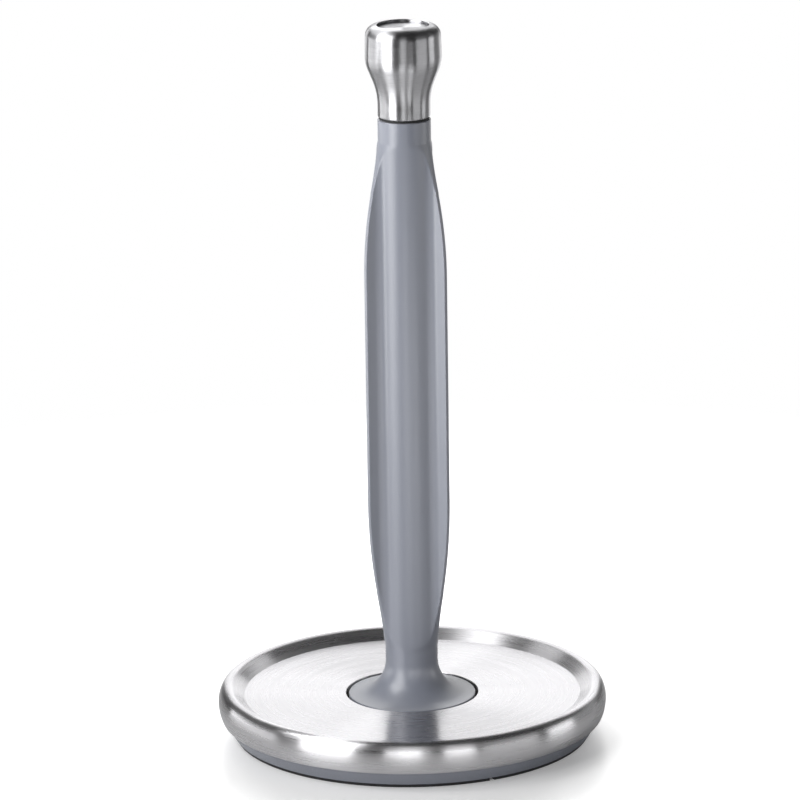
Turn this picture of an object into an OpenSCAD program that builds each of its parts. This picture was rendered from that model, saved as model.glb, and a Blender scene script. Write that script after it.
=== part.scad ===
// Standing paper towel holder: a weighted base, a finned mast that turns on a fixed rod,
// a click ring that holds the mast between pulls, and a round knob on top.
// Millimetres, +Z up. The origin is the middle of the footprint, on the table.

/* [Base] */
// Widest diameter of the base, at the belly of the rim
base_d = 190; // [184:1:210]
// Height of the rim's crest above the plate that the roll stands on
rim_rise = 4.9; // [4:0.1:7]
// Height of the crest above the rim's widest line
crest_rise = 8; // [7:0.1:9]
// Height of the rim's widest line above the steel's lower edge
skirt_drop = 7.5; // [5:0.1:9]
// How far the crest stands in from the widest line
crest_inset = 5; // [4.6:0.1:8]
// Radius of the crest, on its inner and outer side
crest_round = 4; // [3:0.1:4.4]
// Radius of the rim below its widest line
skirt_round = 18.4; // [14:0.1:40]
// Radius where the plate turns up into the rim
plate_fillet = 1.5; // [0.5:0.1:3]
// Slope of the rim's inner side
rim_slope = 36; // [30:1:60]
// Thickness of the stainless sheet
sheet = 0.8; // [0.5:0.1:1]
// Radius of the hole that the mast's flange turns in
hole_r = 32.35; // [32:0.05:34]
// Depth of the collar that is turned down round the hole
collar_h = 4.6; // [3:0.1:5]

/* [Weight, cover and feet] */
// Gap between the cast weight and the foot of the rim's slope
weight_rim_gap = 1.7; // [0.5:0.1:8]
// Radial gap between the weight's hole and the hub cup
weight_gap = 0.2; // [0.1:0.1:1]
// Thickness of the cover's floor
cover_floor = 2.5; // [2:0.1:3]
// How far the cover narrows from the steel edge down to its lower edge
cover_taper = 5.4; // [4:0.1:6]
// How far the cover's upper edge stands in from the steel edge
cover_reveal = 1.1; // [0.9:0.1:2]
// Wall of the cover
cover_wall = 2; // [1.5:0.1:3]
// Height of the lip that centres the cover in the steel rim
cover_lip_h = 3; // [1:0.5:5]
// Number of ribs under the weight
rib_count = 12; // [6:1:24]
// Thickness of a rib
rib_t = 1.6; // [1:0.1:3]
// Radius of the hole over the rod's nut
nut_hole_r = 11; // [10:0.5:14]
// How far the foot segments stand in from the cover's lower edge
foot_inset = 1.2; // [0.5:0.1:4]
// Width of the foot segments
foot_w = 7; // [4:0.5:10]
// Thickness of the foot segments
foot_t = 2.6; // [2.2:0.1:3]
// How far the foot segments stand below the cover
foot_proud = 1.8; // [1.5:0.1:2]
// Number of foot segments
foot_count = 3; // [2:1:6]
// Gap between two foot segments
foot_gap = 2.5; // [1:0.1:6]
// Turn of the first gap from the front
foot_turn = 25.6; // [0:0.1:60]

/* [Hub and click ring] */
// Floor of the hub cup, which is screwed under the weight
cup_floor = 2; // [1.5:0.1:4]
// Wall of the hub cup
cup_wall = 3.5; // [2.5:0.1:4]
// Rim of the hub cup's flange outside its screw heads
cup_flange_rim = 1.8; // [1:0.1:4]
// Radius of the boss that carries the thrust washer
boss_r = 9; // [8:0.1:10]
// Height of the boss above the cup's floor
boss_h = 1.5; // [1:0.1:2]
// Number of hollows in the click ring
click_count = 24; // [12:12:36]
// Thickness of the click ring at the middle of its wave
click_ring_t = 3.4; // [3:0.05:4]
// Half the height of the click ring's wave
click_wave = 0.55; // [0.3:0.05:0.7]
// Height of the click ring
click_ring_h = 5; // [4:0.1:5.5]
// Number of click springs
spring_count = 3; // [2:1:4]
// Thickness of a click spring's leaf
spring_t = 0.7; // [0.4:0.1:1]
// Height of a click spring
spring_h = 2; // [1.5:0.1:2.4]
// Height of the click springs above the cup's floor
spring_lift = 1; // [0.5:0.1:1.5]
// Angle that a click spring's leaf spans
spring_span = 58; // [40:1:70]
// Radius of a click spring's round nose
nose_r = 1.6; // [1.2:0.1:1.8]

/* [Rod] */
// Radius of the steel rod
rod_r = 4; // [3:0.1:4.5]
// Step of the rod's shoulder
rod_step = 1.5; // [1:0.1:2]
// How far the rod reaches into the knob
rod_reach = 16.5; // [12:0.5:22]
// Width across the flats of the rod's nut
nut_af = 13; // [12:0.5:16]
// Thickness of the rod's nut
nut_h = 3.4; // [3:0.1:3.6]
// Thickness of the washers on the rod
washer_t = 0.8; // [0.5:0.1:1]

/* [Mast] */
// Height of the mast above its flange
mast_h = 287.4; // [240:0.1:320]
// Height of the round neck between the flare and the fins
low_neck_h = 7.6; // [5:0.1:20]
// Radius of the round neck above and below the fins
neck_r = 12.75; // [12.4:0.05:13.5]
// Gap between the flange and the hole in the plate
flange_gap = 1.35; // [0.8:0.05:1.8]
// Thickness of the flange at its edge
flange_edge = 2.4; // [1.5:0.1:3]
// How far the flange's edge lies below the plate
flange_drop = 0.2; // [0:0.1:0.5]
// Radius of the flare between the neck and the flange
flare_r = 17; // [14:0.5:17.5]
// Thickness of the soft sleeve at the necks
sleeve_wall = 2.05; // [1.5:0.05:2.5]
// Wall of the stiff tube
core_wall = 2.5; // [1.5:0.1:3]
// Thickness of the stiff tube's flange
core_flange_t = 3.2; // [2.5:0.1:3.5]
// How far the stiff tube's flange stands in from the soft flange
core_flange_inset = 1.4; // [1:0.1:3]
// Thickness of the plate that carries the click springs
carrier_t = 2.8; // [2.2:0.1:3.2]
// Length of a bush inside the stiff tube
bush_len = 12; // [8:1:24]
// Thickness of a bush's flange
bush_flange_t = 1.3; // [1:0.1:1.5]

/* [Fins] */
// Number of fins
fin_count = 3; // [3:1:3]
// Turn of the flute that faces the front
fin_turn = -2; // [-30:0.5:30]
// Radius to the fins' tips, half way up
fin_r = 22.4; // [20:0.1:25]
// Thickness of a fin
fin_t = 2.4; // [2:0.1:4]
// Radius of the round panel between two fins
panel_r = 17; // [14:0.5:30]
// Radius of the hollow between a fin and a panel
flute_fillet = 6; // [3:0.1:7]
// Height of the round neck between the fins and the mast's top
top_neck_h = 10.3; // [8:0.1:30]
// How fast the fins widen at the lower end, in millimetres out for each one up
fin_slope_low = 0.19; // [0.12:0.005:0.3]
// How fast the fins narrow towards the upper end
fin_slope_high = 0.22; // [0.12:0.005:0.3]
// How far the slopes blend into the fins' long edge
fin_blend = 4.8; // [1:0.1:6]

/* [Knob] */
// Height of the knob
knob_h = 44.5; // [40:0.5:50]
// How far the knob's neck stands in from the mast's neck
knob_step = 0.07; // [0:0.01:0.5]
// Radius of the knob at its widest
knob_max_r = 18.4; // [17.5:0.1:20]
// Height of the straight part of the knob's neck
knob_neck_h = 6; // [3:0.5:8]
// Height of the knob's widest line above its lower edge
knob_wide_h = 29.5; // [28:0.5:32]
// Radius of the hollow curve above the knob's neck
knob_hollow = 31; // [26:0.5:34]
// Radius of the full curve below the knob's widest line
knob_belly = 17; // [14:0.5:18]
// Radius of the knob's shoulder
knob_shoulder = 5.2; // [2.5:0.1:6]
// How far the knob narrows from its widest line to its shoulder
knob_shoulder_inset = 0.3; // [0:0.1:1]
// Width of the flat lip round the dish in the knob's top
dish_lip = 0.55; // [0.45:0.05:5]
// Depth of the dish in the knob's top
dish_h = 1.45; // [1:0.05:2]
// Thickness of the knob's steel shell
knob_sheet = 0.8; // [0.6:0.1:1]
// Thickness of the disc in the knob's dish
dish_disc_t = 0.8; // [0.5:0.1:1]
// Thickness of the black washer under the knob
gasket_t = 0.9; // [0.6:0.1:1.5]
// How far the black washer stands in from the knob's neck
gasket_inset = 0.6; // [0.3:0.1:1.5]
// Outer radius of the threaded insert in the knob
insert_r = 6.5; // [5.5:0.1:8]
// Length of the threaded insert in the knob
insert_len = 18; // [14:0.5:24]

/* [Fasteners] */
// Radius of the screws' shanks
screw_r = 1.7; // [1.2:0.1:2]
// Radius of the screws' heads
screw_head_r = 3.1; // [2.8:0.1:3.4]
// Height of the screws' heads
screw_head_h = 1.5; // [1.2:0.1:2]
// How deep the screws reach into what they hold
screw_reach = 7; // [4:0.5:7.5]
// Number of screws that hold the cover
cover_screw_count = 6; // [3:1:8]
// Radius of the ring of screws that holds the cover
cover_screw_ring = 62; // [54:0.5:72]
// Number of screws that hold the hub cup
cup_screw_count = 4; // [3:1:6]
// Number of screws that hold the spring carrier
carrier_screw_count = 3; // [3:1:6]
// Gap between the stiff tube and the heads of the carrier's screws
carrier_screw_gap = 2.7; // [1:0.1:4]

/* [Fits] */
// Radial clearance of a running fit
running_fit = 0.05; // [0.02:0.01:0.1]
// Gap between pieces that are pressed or bonded together
bond = 0.02; // [0.01:0.01:0.05]
// Axial play of the mast on its thrust washer
thrust_play = 0.05; // [0.02:0.01:0.2]
// Gap between the mast and what stands above it
top_gap = 0.3; // [0.2:0.1:0.6]
// Gap between pieces that slip together
slip = 0.15; // [0.1:0.05:0.3]
// Gap between the hub cup's screw heads and the cover
head_gap = 0.2; // [0.1:0.1:1]

/* [Hidden] */
$fn = 96;

arc_steps = 10;
tiny = 0.01;

// Heights from the table up: what is stacked in the base sets the height of the plate
cover_z = foot_proud;
cover_top_z = cover_z + cover_floor;
cup_z = cover_top_z + screw_head_h + head_gap;
weight_z = cup_z + cup_floor;
boss_z = weight_z + boss_h;
spring_z = weight_z + spring_lift;
carrier_z = spring_z + spring_h;
core_flange_z = carrier_z + carrier_t;
sleeve_foot_z = core_flange_z + core_flange_t;
flange_z = sleeve_foot_z + flange_edge;
plate_h = flange_z + flange_drop;
plate_under = plate_h - sheet;
weight_h = plate_under - weight_z;
rim_h = plate_h + rim_rise;
belly_h = rim_h - crest_rise;
skirt_h = belly_h - skirt_drop;

// Radii of the base
rim_r = base_d / 2;
crest_r = rim_r - crest_inset;
side_round = (pow(crest_inset, 2) + pow(rim_h - belly_h - crest_round, 2) - pow(crest_round, 2))
    / (2 * (crest_inset - crest_round));
side_turn = atan2(rim_h - crest_round - belly_h, crest_r - (rim_r - side_round));
skirt_turn = asin((belly_h - skirt_h) / skirt_round);
skirt_r = rim_r - skirt_round * (1 - cos(skirt_turn));
slope_run = (rim_h - plate_h - (plate_fillet + crest_round) * (1 - cos(rim_slope))) / sin(rim_slope);
plate_r = crest_r - (plate_fillet + crest_round) * sin(rim_slope) - slope_run * cos(rim_slope);
weight_r = plate_r - weight_rim_gap;
cover_r = skirt_r - cover_reveal;
cover_foot_r = skirt_r - cover_taper;
cover_lip_r = skirt_r - sheet - slip;
foot_r = cover_foot_r - foot_inset;
foot_groove = foot_t - foot_proud;

// Hub cup, click ring and rod
cup_r = hole_r + sheet + slip;
weight_hole_r = cup_r + cup_wall + weight_gap;
cup_screw_ring = weight_hole_r + screw_head_r + 1;
cup_flange_r = cup_screw_ring + screw_head_r + cup_flange_rim;
rod_foot_z = cup_z - washer_t - nut_h - 0.4;
click_ring_r = cup_r - slip;
click_r = click_ring_r - click_ring_t;
rod_shoulder_r = rod_r + rod_step;

// Radii and heights of the turning mast
flange_r = hole_r - flange_gap;
core_r = neck_r - sleeve_wall;
core_flange_r = flange_r - core_flange_inset;
carrier_screw_ring = core_r + screw_head_r + carrier_screw_gap;
mast_foot_z = boss_z + washer_t + thrust_play;
core_foot_z = mast_foot_z + bush_flange_t;
mast_top = flange_z + mast_h;
flare_top_z = flange_z + flare_r;
fin_start = flare_top_z + low_neck_h;
core_top_z = mast_top - 3.8;
core_bore_r = core_r - core_wall;
fin_end = mast_top - top_neck_h;
nose_gap = 0.3;
nose_at_r = click_r + click_wave - nose_r - nose_gap;
leaf_r = nose_at_r - nose_r + spring_t / 2;
carrier_r = leaf_r + spring_t / 2 + 0.1;

// Radii and heights of the rod and the knob
knob_neck_r = neck_r - knob_step;
gasket_r = knob_neck_r - gasket_inset;
knob_shoulder_r = knob_max_r - knob_shoulder_inset;
dish_r = knob_shoulder_r - knob_shoulder - dish_lip;
gasket_z = mast_top + top_gap;
knob_z = gasket_z + gasket_t;
rod_top_z = knob_z + rod_reach;
clip_z = core_top_z + bush_flange_t + top_gap;
clip_t = 0.9;
groove_r = rod_r - 0.5;
knob_top_z = knob_z + knob_h;
dish_z = knob_top_z - dish_h;

// Points on an arc round c, from angle a0 to angle a1
function arc(c, r, a0, a1, n = arc_steps) =
    [for (i = [0:n]) c + r * [cos(a0 + (a1 - a0) * i / n), sin(a0 + (a1 - a0) * i / n)]];

// The lower of two lines, rounded over k where they cross
function soft_min(a, b, k) = min(a, b) - pow(max(k - abs(a - b), 0), 2) / (4 * k);

// ---------- base ----------

// Outline of the steel pan from the plate to its lower edge, moved in by t
function pan_outline(t) = concat(
    arc([plate_r, plate_h + plate_fillet], plate_fillet + t, -90, -90 + rim_slope),
    arc([crest_r, rim_h - crest_round], crest_round - t, 90 + rim_slope, side_turn),
    arc([rim_r - side_round, belly_h], side_round - t, side_turn, 0),
    arc([rim_r - skirt_round, belly_h], skirt_round - t, 0, -skirt_turn));

function reversed(list) = [for (i = [len(list) - 1:-1:0]) list[i]];

// One drawn sheet: the hole's collar, the plate, the sloped side and the rolled rim
module base_shell() {
    edge = sheet / 2;
    color("lightgray")
    rotate_extrude()
    polygon(concat(
        [[hole_r, plate_h - collar_h]],
        arc([hole_r + edge, plate_h - edge], edge, 180, 90, 4),
        pan_outline(0),
        reversed(pan_outline(sheet)),
        [[hole_r + sheet, plate_under], [hole_r + sheet, plate_h - collar_h]]));
}

// Places its children on a ring, the first at angle start
module on_ring(count, r, start = 0)
    for (i = [0:count - 1])
        rotate([0, 0, start + 360 * i / count])
        translate([r, 0, 0])
        children();

// A ring with a true bore
module tube(r_out, r_in, h)
    difference() {
        cylinder(r = r_out, h = h);
        translate([0, 0, -1]) cylinder(r = r_in, h = h + 2);
    }

// Cast disc under the plate, tapped from below for both sets of screws
module base_weight() {
    chamfer = 1.5;
    color("dimgray")
    difference() {
        translate([0, 0, weight_z])
        rotate_extrude()
        polygon([[weight_hole_r, 0], [weight_r - chamfer, 0], [weight_r, chamfer],
            [weight_r, weight_h - chamfer], [weight_r - chamfer, weight_h], [weight_hole_r, weight_h]]);
        translate([0, 0, weight_z - 1]) {
            on_ring(cup_screw_count, cup_screw_ring, 45) cylinder(r = screw_r + bond, h = screw_reach + 2);
            on_ring(cover_screw_count, cover_screw_ring) cylinder(r = screw_r + bond, h = screw_reach + 2);
        }
    }
}

// Moulded tray that closes the base: ribs carry the weight, bosses take the screws
module base_cover() {
    boss = screw_head_r + 1.9;
    head_room = screw_head_r + 0.4;
    rib_in = cup_flange_r + 2;
    color("slategray")
    difference() {
        union() {
            rotate_extrude()
            polygon([[nut_hole_r, cover_z], [cover_foot_r, cover_z], [cover_r, skirt_h],
                [cover_lip_r, skirt_h], [cover_lip_r, skirt_h + cover_lip_h],
                [cover_lip_r - cover_wall, skirt_h + cover_lip_h],
                [cover_foot_r - cover_wall, cover_top_z], [nut_hole_r, cover_top_z]]);
            intersection() {
                for (i = [0:rib_count - 1])
                    rotate([0, 0, 360 * (i + 0.5) / rib_count])
                    translate([rib_in, -rib_t / 2, cover_top_z - tiny])
                    cube([weight_r - rib_in, rib_t, weight_z - cover_top_z + tiny]);
                cylinder(r = weight_r, h = weight_z);
            }
            translate([0, 0, cover_top_z - tiny])
            on_ring(cover_screw_count, cover_screw_ring)
            cylinder(r = boss, h = weight_z - cover_top_z + tiny);
        }
        translate([0, 0, cover_z - 1])
        tube(foot_r + bond, foot_r - foot_w - bond, foot_groove + 1);
        on_ring(cover_screw_count, cover_screw_ring) {
            cylinder(r = screw_r + slip, h = weight_z + 1);
            cylinder(r = head_room, h = cover_top_z);
        }
    }
}

// Black rubber arcs that stand on the table, with a gap between each two
module foot_segments() {
    half_gap = foot_gap / 2;
    color("black")
    rotate([0, 0, foot_turn - 90])
    difference() {
        tube(foot_r, foot_r - foot_w, foot_t);
        for (i = [0:foot_count - 1])
            rotate([0, 0, 360 * i / foot_count])
            translate([foot_r - foot_w - 1, -half_gap, -1])
            cube([foot_w + 2, foot_gap, foot_t + 2]);
    }
}

// ---------- hub ----------

// Cup under the hole: it holds the click ring, and its boss carries the rod and the mast
module hub_cup() {
    color("darkslategray")
    difference() {
        union() {
            translate([0, 0, cup_z]) cylinder(r = cup_flange_r, h = cup_floor);
            translate([0, 0, weight_z - tiny]) tube(cup_r + cup_wall, cup_r, weight_h + tiny);
            translate([0, 0, weight_z - tiny]) cylinder(r = boss_r, h = boss_h + tiny);
        }
        translate([0, 0, cup_z - 1]) {
            cylinder(r = rod_r + bond, h = boss_z - cup_z + 2);
            on_ring(cup_screw_count, cup_screw_ring, 45) cylinder(r = screw_r + slip, h = cup_floor + 2);
        }
    }
}

// Radius of the click ring's wave at angle a
function wave_r(a) = click_r + click_wave * cos(click_count * a);

// Ring with a round wave inside: each hollow is one stop of the mast
module click_ring() {
    steps = click_count * 8;
    color("white")
    translate([0, 0, weight_z])
    linear_extrude(click_ring_h)
    difference() {
        circle(r = click_ring_r);
        polygon([for (i = [0:steps - 1]) wave_r(360 * i / steps) * [cos(360 * i / steps), sin(360 * i / steps)]]);
    }
}

module thrust_washer() {
    color("white")
    translate([0, 0, boss_z])
    tube(boss_r, rod_shoulder_r + slip, washer_t);
}

// ---------- rod ----------

// Fixed steel rod: threaded at both ends, with a shoulder on the hub and a groove for the clip
module centre_rod() {
    end_chamfer = 0.6;
    color("silver")
    rotate_extrude()
    polygon([[0, rod_foot_z], [rod_r - end_chamfer, rod_foot_z], [rod_r, rod_foot_z + end_chamfer],
        [rod_r, boss_z], [rod_shoulder_r, boss_z], [rod_shoulder_r, boss_z + washer_t - 0.1],
        [rod_r, boss_z + washer_t - 0.1], [rod_r, clip_z - bond], [groove_r, clip_z - bond],
        [groove_r, clip_z + clip_t + bond], [rod_r, clip_z + clip_t + bond],
        [rod_r, rod_top_z - end_chamfer], [rod_r - end_chamfer, rod_top_z], [0, rod_top_z]]);
}

module rod_washer() {
    color("silver")
    translate([0, 0, cup_z - washer_t])
    tube(nut_hole_r - 2, rod_r + slip, washer_t);
}

module rod_nut() {
    color("silver")
    translate([0, 0, cup_z - washer_t - nut_h])
    difference() {
        intersection() {
            cylinder(r = nut_af / 2 / cos(30), h = nut_h, $fn = 6);
            cylinder(r1 = nut_af / 2 * 1.04, r2 = nut_af / 2 * 1.04 + nut_h * 2, h = nut_h);
        }
        translate([0, 0, -1]) cylinder(r = rod_r + bond, h = nut_h + 2);
    }
}

// Spring clip in the rod's groove: it keeps the mast down when the knob is off
module retaining_clip() {
    mouth = groove_r * 1.5;
    color("silver")
    translate([0, 0, clip_z])
    difference() {
        tube(rod_r + 2.5, groove_r + bond, clip_t);
        translate([0, -mouth / 2, -1]) cube([rod_r + 3, mouth, clip_t + 2]);
    }
}

// ---------- screws ----------

// Pan-head screw whose head lies under z = 0 and whose shank goes up
module pan_screw(shank) {
    slot_w = 0.8;
    difference() {
        union() {
            translate([0, 0, -screw_head_h]) cylinder(r1 = screw_head_r - 0.5, r2 = screw_head_r, h = screw_head_h);
            cylinder(r = screw_r, h = shank);
        }
        for (a = [0, 90])
            rotate([0, 0, a])
            translate([-screw_head_r * 0.6, -slot_w / 2, -screw_head_h - 1])
            cube([screw_head_r * 1.2, slot_w, 1.7]);
    }
}

module cup_screws() {
    color("gray")
    translate([0, 0, cup_z])
    on_ring(cup_screw_count, cup_screw_ring, 45) pan_screw(cup_floor + screw_reach);
}

module cover_screws() {
    color("gray")
    translate([0, 0, cover_top_z])
    on_ring(cover_screw_count, cover_screw_ring) pan_screw(weight_z - cover_top_z + screw_reach);
}

module carrier_screws() {
    color("gray")
    translate([0, 0, carrier_z])
    on_ring(carrier_screw_count, carrier_screw_ring, 90) pan_screw(carrier_t + core_flange_t - 0.6);
}

// ---------- mast ----------

// Reach of the fins at height z: two slopes blended into a long edge
function fin_edge(z) = soft_min(
    soft_min(neck_r + fin_slope_low * (z - fin_start), neck_r + fin_slope_high * (fin_end - z), fin_blend),
    fin_r, fin_blend);

// Outline of the mast's envelope, from the flange's edge up to the rounded top
function mast_outline() = concat(
    [[core_r, sleeve_foot_z], [flange_r, sleeve_foot_z]],
    arc([flange_r - 0.4, flange_z - 0.4], 0.4, 0, 90, 3),
    arc([neck_r + flare_r, flare_top_z], flare_r, 270, 180, 16),
    [[neck_r, fin_start]],
    [for (i = [1:fin_steps - 1]) let (z = fin_start + (fin_end - fin_start) * i / fin_steps)
        [fin_edge(z), z]],
    [[neck_r, fin_end]],
    arc([neck_r - 0.4, mast_top - 0.4], 0.4, 0, 90, 3),
    [[core_r, mast_top]]);
fin_steps = 60;

// Where the hollow beside a fin touches the fin and the panel, with the fin along +X.
// The panels stand a hair outside the neck, so the two surfaces cross and don't graze.
panel_proud = 0.06;
panel_c = panel_r - neck_r - panel_proud;
fillet_y = fin_t / 2 + flute_fillet;
fin_angle = 180 / fin_count;
fillet_x = -panel_c * cos(fin_angle)
    + sqrt(pow(panel_r + flute_fillet, 2) - pow(fillet_y + panel_c * sin(fin_angle), 2));
panel_centre = -panel_c * [cos(fin_angle), sin(fin_angle)];
panel_touch = panel_centre
    + ([fillet_x, fillet_y] - panel_centre) * panel_r / (panel_r + flute_fillet);

// Section through the mast where the fins are full: round panels, hollows and flat-sided fins
module mast_section() {
    intersection_for (i = [0:fin_count - 1])
        rotate([0, 0, 360 * i / fin_count])
        translate(panel_centre)
        circle(r = panel_r);
    for (i = [0:fin_count - 1])
        rotate([0, 0, 360 * i / fin_count]) {
            translate([0, -fin_t / 2]) square([fin_r + 2, fin_t]);
            for (side = [0, 1])
                mirror([0, side])
                difference() {
                    polygon([[0, 0], [fillet_x, 0], [fillet_x, fillet_y], panel_touch]);
                    translate([fillet_x, fillet_y]) circle(r = flute_fillet);
                }
        }
}

// Soft grip: three fins grow out of the round neck and end above the flared flange
module mast_sleeve() {
    split_z = (flare_top_z + fin_start) / 2;
    color("slategray")
    difference() {
        intersection() {
            rotate_extrude() polygon(mast_outline());
            union() {
                cylinder(r = flange_r + 1, h = split_z);
                rotate([0, 0, fin_turn - 90 + fin_angle])
                translate([0, 0, split_z - tiny])
                linear_extrude(mast_top - split_z + 1)
                mast_section();
            }
        }
        translate([0, 0, sleeve_foot_z - 1]) cylinder(r = core_r + bond, h = mast_top);
    }
}

// Stiff tube inside the grip, with the flange that the soft flange is bonded to
module mast_core() {
    color("darkslategray")
    difference() {
        union() {
            translate([0, 0, core_foot_z]) cylinder(r = core_r, h = core_top_z - core_foot_z);
            translate([0, 0, core_flange_z]) cylinder(r = core_flange_r, h = core_flange_t);
        }
        translate([0, 0, core_foot_z - 1]) cylinder(r = core_bore_r, h = core_top_z - core_foot_z + 2);
        translate([0, 0, core_flange_z - 1])
        on_ring(carrier_screw_count, carrier_screw_ring, 90)
        cylinder(r = screw_r + bond, h = core_flange_t + 0.6);
    }
}

// Flanged bearing with its flange below z = 0 and its barrel above
module bush() {
    difference() {
        union() {
            translate([0, 0, -bush_flange_t]) cylinder(r = boss_r, h = bush_flange_t);
            cylinder(r = core_bore_r - bond, h = bush_len);
        }
        translate([0, 0, -bush_flange_t - 1]) cylinder(r = rod_r + running_fit, h = bush_len + bush_flange_t + 2);
    }
}

module lower_bush() {
    color("white") translate([0, 0, core_foot_z]) bush();
}

module upper_bush() {
    color("white") translate([0, 0, core_top_z]) mirror([0, 0, 1]) bush();
}

// Plate screwed under the flange: its blocks hold the roots of the click springs
module spring_carrier() {
    color("darkslategray")
    difference() {
        translate([0, 0, carrier_z]) tube(carrier_r, core_r + slip, carrier_t);
        translate([0, 0, carrier_z - 1])
        on_ring(carrier_screw_count, carrier_screw_ring, 90) cylinder(r = screw_r + slip, h = carrier_t + 2);
    }
}

// Curved leaves with a root block at one end and a round nose in the click ring at the other
module click_springs() {
    root = 4;
    color("gold")
    translate([0, 0, spring_z])
    linear_extrude(spring_h)
    for (i = [0:spring_count - 1])
        rotate([0, 0, 360 * i / spring_count]) {
            difference() {
                circle(r = leaf_r + spring_t / 2);
                circle(r = leaf_r - spring_t / 2);
                polygon(concat([[0, 0]], arc([0, 0], 2 * leaf_r, 0, 360 - spring_span, 8)));
            }
            translate([nose_at_r, 0]) circle(r = nose_r);
            rotate([0, 0, -spring_span])
            translate([leaf_r + spring_t / 2 - root, -root / 2])
            square(root);
        }
}

// ---------- knob ----------

knob_wide_z = knob_z + knob_wide_h;
knob_neck_z = knob_z + knob_neck_h;

// Slope of the line that touches both the hollow and the full curve
knob_gap = [knob_neck_r + knob_hollow - (knob_max_r - knob_belly), knob_wide_z - knob_neck_z];
knob_slope = knob_turn();
function knob_turn() = atan2(knob_gap[1], knob_gap[0]) - acos((knob_hollow + knob_belly) / norm(knob_gap));

// Outline of the knob from its lower edge to the lip of the dish, moved in by t
function knob_outline(t) = concat(
    arc([knob_neck_r - knob_sheet, knob_z + knob_sheet], knob_sheet - t, -90, 0, 4),
    arc([knob_neck_r + knob_hollow, knob_neck_z], knob_hollow + t, 180, 180 - knob_slope),
    arc([knob_max_r - knob_belly, knob_wide_z], knob_belly - t, -knob_slope, 0),
    arc([knob_shoulder_r - knob_shoulder, knob_top_z - knob_shoulder], knob_shoulder - t, 0, 90));

// Drawn steel shell, open below and closed by a pressed-in disc above
module knob_shell() {
    lip = knob_sheet / 2;
    color("lightgray")
    rotate_extrude()
    polygon(concat(
        [[gasket_r - 1, knob_z]],
        knob_outline(0),
        arc([dish_r + lip, knob_top_z - lip], lip, 90, 180, 4),
        [[dish_r, dish_z - dish_disc_t], [dish_r + knob_sheet, dish_z - dish_disc_t],
            [dish_r + knob_sheet, knob_top_z - knob_sheet]],
        reversed(knob_outline(knob_sheet - tiny)),
        [[gasket_r - 1, knob_z + knob_sheet]]));
}

module knob_disc() {
    color("silver")
    translate([0, 0, dish_z - dish_disc_t])
    cylinder(r = dish_r - bond, h = dish_disc_t);
}

// Moulded filling that holds the shell, the disc and the threaded insert
module knob_core() {
    top_z = dish_z - dish_disc_t;
    inner = knob_outline(knob_sheet + bond);
    color("darkslategray")
    difference() {
        rotate_extrude()
        polygon(concat(
            [[0, knob_z], [gasket_r - 1 - bond, knob_z], [gasket_r - 1 - bond, knob_z + knob_sheet + bond]],
            [for (p = inner) if (p[1] > knob_z + knob_sheet + bond && p[1] < top_z) p],
            [[0, top_z]]));
        translate([0, 0, knob_z - 1]) cylinder(r = insert_r + bond, h = insert_len + 2);
    }
}

module knob_insert() {
    color("goldenrod")
    translate([0, 0, knob_z])
    tube(insert_r, rod_r + bond, insert_len);
}

module knob_gasket() {
    color("black")
    translate([0, 0, gasket_z])
    tube(gasket_r, rod_r + bond, gasket_t);
}

base_shell();
base_weight();
base_cover();
foot_segments();
hub_cup();
click_ring();
thrust_washer();
centre_rod();
rod_washer();
rod_nut();
cup_screws();
cover_screws();
retaining_clip();
knob_shell();
knob_disc();
knob_core();
knob_insert();
knob_gasket();
mast_sleeve();
mast_core();
lower_bush();
upper_bush();
spring_carrier();
click_springs();
carrier_screws();
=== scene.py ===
"""Dresses the paper towel holder: steel base, soft finned mast, steel knob, and the hub inside."""

import logging
import math
from bisect import bisect_left
from dataclasses import dataclass
from enum import Enum

import bmesh
import bpy
from mathutils import Matrix, Vector

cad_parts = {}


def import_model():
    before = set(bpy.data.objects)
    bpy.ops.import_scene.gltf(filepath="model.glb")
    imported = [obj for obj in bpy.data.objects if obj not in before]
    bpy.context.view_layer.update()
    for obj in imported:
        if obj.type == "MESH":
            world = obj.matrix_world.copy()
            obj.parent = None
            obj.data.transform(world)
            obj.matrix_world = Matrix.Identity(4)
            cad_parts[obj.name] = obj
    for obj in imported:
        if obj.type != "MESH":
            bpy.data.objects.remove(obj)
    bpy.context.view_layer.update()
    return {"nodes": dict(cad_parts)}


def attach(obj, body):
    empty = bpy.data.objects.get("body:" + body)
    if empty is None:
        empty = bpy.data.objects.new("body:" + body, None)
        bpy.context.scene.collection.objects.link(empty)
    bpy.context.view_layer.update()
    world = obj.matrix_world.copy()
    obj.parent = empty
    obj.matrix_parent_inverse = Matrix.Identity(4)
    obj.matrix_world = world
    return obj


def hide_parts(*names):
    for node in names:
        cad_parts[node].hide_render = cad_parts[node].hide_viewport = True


MM = 0.001
UP = Vector((0.0, 0.0, 1.0))
# Power of an area lamp, for each square metre and unit of radiance
LAMP_WATTS = 4.0
# Points of a turned mesh that are closer than this, in millimetres, are one point
WELD = 0.002
# Noise textures stay mostly between these two values
NOISE_LOW, NOISE_HIGH = 0.3, 0.7
log = logging.getLogger("towel_holder")


class Body(Enum):
    """The two bodies that the holder's pieces ride on."""

    BASE = "base"
    MAST = "mast"


# ---------------------------------------------------------------- nodes and colours


def linear(colour: str) -> tuple[float, float, float, float]:
    """Turns an sRGB hex colour to linear light.

    Args:
        colour: The colour as "#rrggbb".

    Returns:
        Linear red, green and blue, and an alpha of 1.
    """
    parts = [int(colour[i : i + 2], 16) / 255 for i in (1, 3, 5)]
    red, green, blue = (p / 12.92 if p <= 0.04045 else ((p + 0.055) / 1.055) ** 2.4 for p in parts)
    return red, green, blue, 1.0


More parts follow.
